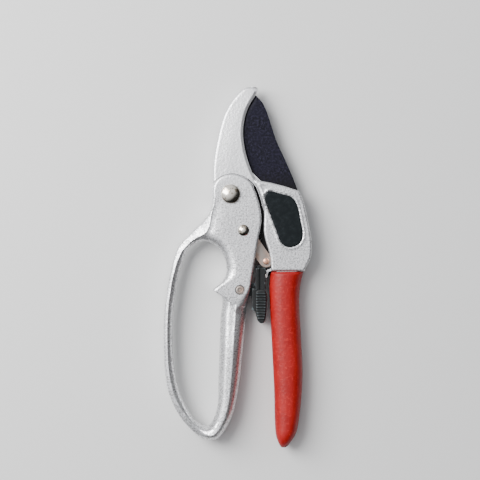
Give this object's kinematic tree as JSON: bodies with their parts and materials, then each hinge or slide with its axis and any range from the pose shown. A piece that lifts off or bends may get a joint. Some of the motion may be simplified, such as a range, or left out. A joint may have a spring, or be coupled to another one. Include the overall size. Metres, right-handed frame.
{
  "type": "anvil pruner",
  "caption": "Hand pruner with a hooked anvil jaw, a hinged blade, a ratchet link, a D-shaped finger guard and a sleeved handle.",
  "frame": {"origin": "centre of the bounding box's base, on the surface that the closed pruner lies on", "axes": "+Y towards the jaws, +X towards the blade's side of the front view, +Z out of the front face"},
  "size_m": [0.0838, 0.2054, 0.0189],
  "materials": {
    "hammered_silver": "hammered silver paint over die-cast aluminium alloy",
    "red_grip": "dipped PVC, satin",
    "black_gloss": "gloss",
    "bronze": "sintered bronze",
    "plain_steel": "bare, brownish grey",
    "plated_steel": "bright nickel",
    "coated_steel": "black non-stick coating, satin",
    "copper_pin": "copper plated",
    "latch_black": "moulded, satin"
  },
  "bodies": {
    "anvil_side": {"anvil_handle": "hammered_silver", "grip_sleeve": "red_grip", "badge_plate": "black_gloss", "pivot_bush": "bronze", "thrust_washer_front": "bronze", "thrust_washer_rear": "bronze", "blade_bolt": "plain_steel", "blade_nut": "plated_steel", "catch_pin": "plated_steel"},
    "d_side": {"d_handle": "hammered_silver", "pivot_bolt": "plated_steel", "pivot_washer": "plated_steel", "pivot_nut": "plated_steel", "link_rivet": "plated_steel", "latch_screw": "plain_steel"},
    "blade": {"blade": "coated_steel", "blade_bush": "bronze"},
    "link": {"link_plate_front": "plain_steel", "link_plate_rear": "plain_steel", "pawl_pin": "copper_pin", "link_spacer": "plain_steel", "link_spring": "plain_steel"},
    "latch": {"latch_lever": "latch_black", "latch_bush": "bronze"}
  },
  "joints": [
    {"name": "handle_hinge", "type": "hinge", "parent": "anvil_side", "child": "d_side", "pos_m": [-0.00385, 0.04145, 0.0082], "axis": [0, 0, -1], "range_deg": [0, 44]},
    {"name": "blade_hinge", "type": "hinge", "parent": "anvil_side", "child": "blade", "pos_m": [0.02115, 0.03345, 0.0082], "axis": [0, 0, -1], "range_deg": [0, 24]},
    {"name": "link_hinge", "type": "hinge", "parent": "d_side", "child": "link", "pos_m": [0.00335, 0.02095, 0.0082], "axis": [0, 0, 1], "range_deg": [0, 61.5]},
    {"name": "latch_hinge", "type": "hinge", "parent": "d_side", "child": "latch", "pos_m": [0.0014, -0.01275, 0.0082], "axis": [0, 0, -1], "range_deg": [0, 10]}
  ],
  "couplings": [
    {"joint": "blade_hinge", "follows": "handle_hinge", "ratio": 0.537},
    {"joint": "link_hinge", "follows": "handle_hinge", "ratio": 1.387}
  ]
}
